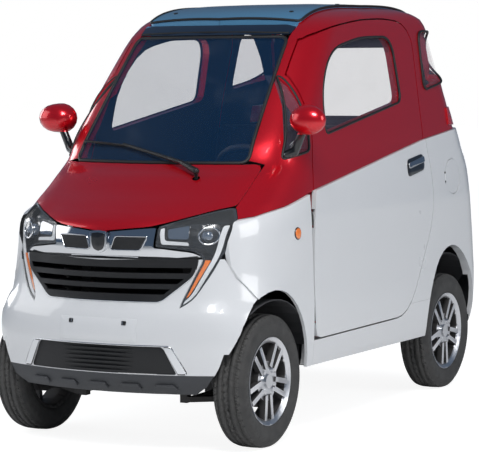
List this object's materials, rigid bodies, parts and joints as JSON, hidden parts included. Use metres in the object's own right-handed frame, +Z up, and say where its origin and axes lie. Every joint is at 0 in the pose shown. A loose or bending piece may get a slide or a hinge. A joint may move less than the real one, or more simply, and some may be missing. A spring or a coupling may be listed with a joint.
{
  "type": "electric quadricycle",
  "caption": "Small closed two-seat electric quadricycle with hinged doors, tailgate, steered front wheels and alloy rims.",
  "frame": {"origin": "on the floor, under the middle of the vehicle's box", "axes": "+X to the vehicle's left, +Y to its rear, +Z up; the front faces -Y"},
  "size_m": [1.294, 2.4, 1.68],
  "materials": {
    "red_moulding": "metallic lacquer",
    "white_moulding": "gloss lacquer",
    "roof_blue": "gloss lacquer",
    "dark_moulding": "fine grain",
    "cabin_moulding": "leather grain",
    "tinted_glass": "polished",
    "clear_lens": "polished",
    "red_lens": "polished",
    "lamp_bowl": "metallised",
    "chrome_bar": "mirror",
    "black_steel": "satin black paint",
    "steel": "machined",
    "alloy": "machined face",
    "tyre_rubber": "moulded",
    "leatherette": "grained",
    "battery_case": "moulded"
  },
  "bodies": {
    "body": {"chassis_frame": "black_steel", "floor_pan": "cabin_moulding", "wheel_houses": "dark_moulding", "battery_pack": "battery_case", "rear_axle": "black_steel", "rear_suspension": "black_steel", "front_suspension": "black_steel", "steering_gear": "black_steel", "dashboard": "cabin_moulding", "seat_frames": "black_steel", "seat_cushions": "leatherette", "seat_backs": "leatherette", "windscreen": "tinted_glass", "roof_panels": "roof_blue", "body_uppers": "red_moulding", "rear_quarters": "white_moulding", "rear_bumper": "white_moulding", "front_fenders": "white_moulding", "sills": "white_moulding", "front_bumper": "white_moulding", "front_skirt": "dark_moulding", "bonnet": "red_moulding", "chrome_trim": "chrome_bar", "grilles": "dark_moulding", "headlamp_housings": "lamp_bowl", "headlamp_lenses": "clear_lens", "tail_lamps": "red_lens", "side_glass": "tinted_glass", "mirrors": "red_moulding", "wiper": "dark_moulding", "hinge_brackets": "black_steel"},
    "door_left": {"door_skin_left": "white_moulding", "door_frame_left": "red_moulding", "door_glass_left": "tinted_glass", "door_hinge_left": "black_steel"},
    "door_right": {"door_skin_right": "white_moulding", "door_frame_right": "red_moulding", "door_glass_right": "tinted_glass", "door_hinge_right": "black_steel"},
    "tailgate": {"tailgate": "red_moulding", "tailgate_glass": "tinted_glass", "tailgate_hinges": "black_steel"},
    "charge_flap": {"charge_flap": "white_moulding"},
    "rack": {"rack_bar": "steel"},
    "steering_wheel": {"steering_wheel": "cabin_moulding"},
    "knuckle_left": {"knuckle_left": "black_steel"},
    "knuckle_right": {"knuckle_right": "black_steel"},
    "wheel_front_left": {"tyre_front_left": "tyre_rubber", "rim_front_left": "alloy"},
    "wheel_front_right": {"tyre_front_right": "tyre_rubber", "rim_front_right": "alloy"},
    "wheel_rear_left": {"tyre_rear_left": "tyre_rubber", "rim_rear_left": "alloy"},
    "wheel_rear_right": {"tyre_rear_right": "tyre_rubber", "rim_rear_right": "alloy"}
  },
  "joints": [
    {"name": "door_left_hinge", "type": "hinge", "parent": "body", "child": "door_left", "pos_m": [0.558, -0.503, 0.47], "axis": [0.0349, 0, -0.9994], "range_deg": [0, 65]},
    {"name": "door_right_hinge", "type": "hinge", "parent": "body", "child": "door_right", "pos_m": [-0.558, -0.503, 0.47], "axis": [0.0349, 0, 0.9994], "range_deg": [0, 65]},
    {"name": "tailgate_hinge", "type": "hinge", "parent": "body", "child": "tailgate", "pos_m": [0.23, 0.956, 1.588], "axis": [1, 0, 0], "range_deg": [0, 75]},
    {"name": "charge_flap_hinge", "type": "hinge", "parent": "body", "child": "charge_flap", "pos_m": [0.554, 0.777, 0.92994], "axis": [0.0593, 0, -0.9982], "range_deg": [0, 110]},
    {"name": "steer_left", "type": "hinge", "parent": "body", "child": "knuckle_left", "pos_m": [0.434, -0.835, 0.252], "axis": [0, 0, 1], "range_deg": [-30, 30]},
    {"name": "steer_right", "type": "hinge", "parent": "body", "child": "knuckle_right", "pos_m": [-0.434, -0.835, 0.252], "axis": [0, 0, 1], "range_deg": [-30.1, 30.1]},
    {"name": "rack_slide", "type": "slide", "parent": "body", "child": "rack", "axis": [1, 0, 0], "range_m": [-0.056, 0.056]},
    {"name": "steering_wheel_turn", "type": "hinge", "parent": "body", "child": "steering_wheel", "pos_m": [0.17, -0.243, 0.985], "axis": [0, 0.7349, 0.6782], "range_deg": [-421, 421]},
    {"name": "wheel_front_left_spin", "type": "hinge", "parent": "knuckle_left", "child": "wheel_front_left", "pos_m": [0.482, -0.835, 0.252], "axis": [1, 0, 0], "continuous": true},
    {"name": "wheel_front_right_spin", "type": "hinge", "parent": "knuckle_right", "child": "wheel_front_right", "pos_m": [-0.482, -0.835, 0.252], "axis": [1, 0, 0], "continuous": true},
    {"name": "wheel_rear_left_spin", "type": "hinge", "parent": "body", "child": "wheel_rear_left", "pos_m": [0.482, 0.822, 0.252], "axis": [1, 0, 0], "continuous": true},
    {"name": "wheel_rear_right_spin", "type": "hinge", "parent": "body", "child": "wheel_rear_right", "pos_m": [-0.482, 0.822, 0.252], "axis": [1, 0, 0], "continuous": true}
  ],
  "couplings": [
    {"joint": "steer_right", "follows": "steer_left", "ratio": 1},
    {"joint": "rack_slide", "follows": "steer_left", "m_per_rad": 0.105},
    {"joint": "steering_wheel_turn", "follows": "steer_left", "ratio": 14}
  ]
}
